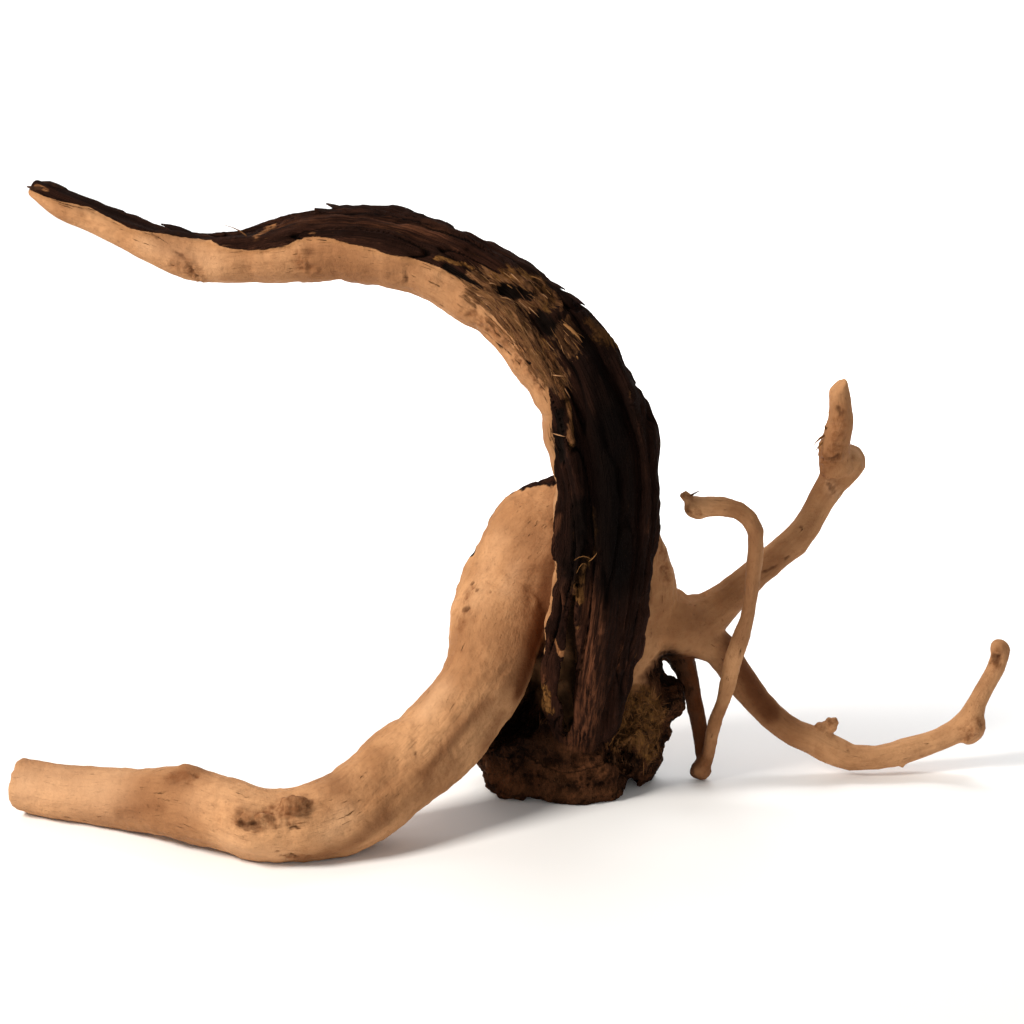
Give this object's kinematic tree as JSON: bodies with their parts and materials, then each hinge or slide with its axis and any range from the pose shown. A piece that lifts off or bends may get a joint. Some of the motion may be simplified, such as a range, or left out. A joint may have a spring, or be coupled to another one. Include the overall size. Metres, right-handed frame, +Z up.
{
  "type": "piece of driftwood",
  "caption": "Branching driftwood root: an arching dark-faced slab and a trunk-like root grown from one root crown, with slender side limbs and a hooked twig.",
  "frame": {"origin": "centre of the bounding box on the ground plane, at the height of the underside it rests on", "axes": "+Z up; +X towards the slender limbs, along the longest way; -Y towards the front, where the dark face of the slab looks"},
  "size_m": [0.4582, 0.1396, 0.2802],
  "materials": {
    "weathered_wood": "bare weathered wood, smooth and pale, with a rough dark fibrous face on the arching slab and a crumbling dark base"
  },
  "bodies": {
    "root": {"driftwood": "weathered_wood"}
  },
  "joints": []
}
